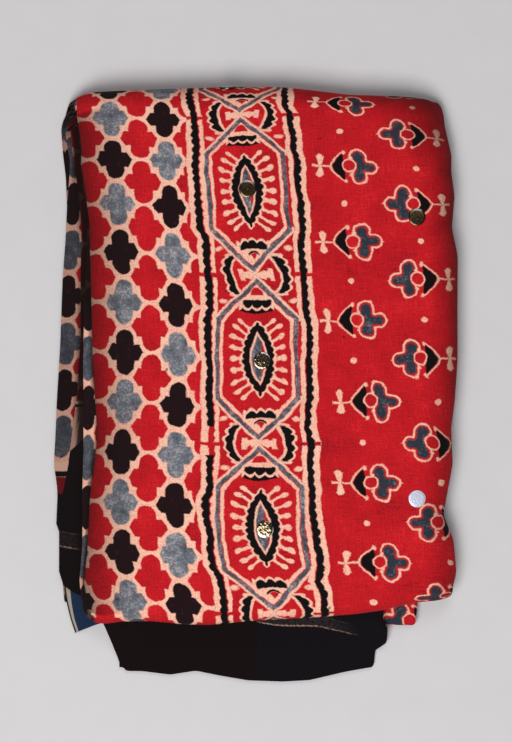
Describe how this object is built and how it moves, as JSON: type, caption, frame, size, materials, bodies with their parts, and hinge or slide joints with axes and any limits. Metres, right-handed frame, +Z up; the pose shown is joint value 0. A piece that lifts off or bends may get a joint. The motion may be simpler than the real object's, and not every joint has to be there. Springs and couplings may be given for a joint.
{
  "type": "folded ajrakh cloth",
  "caption": "Long ajrakh block-printed cloth folded into a flat bundle, with round mirrors sewn on and its plain end sliding out at the front.",
  "frame": {"origin": "on the floor under the middle of the bundle's box", "axes": "+Z up, +Y towards the rounded back fold, +X towards the side with the lengthwise wraps"},
  "size_m": [0.2999, 0.4415, 0.0443],
  "materials": {
    "cloth": "matte block-printed cotton with a soft sheen, red, black, indigo and peach",
    "mirror": "silvered glass, shiny"
  },
  "bodies": {
    "root": {"cloth": "cloth", "mirror_border_back": "mirror", "mirror_border_middle": "mirror", "mirror_border_front": "mirror", "mirror_field_back": "mirror", "mirror_field_front": "mirror", "mirror_back_fold": "mirror"}
  },
  "joints": []
}
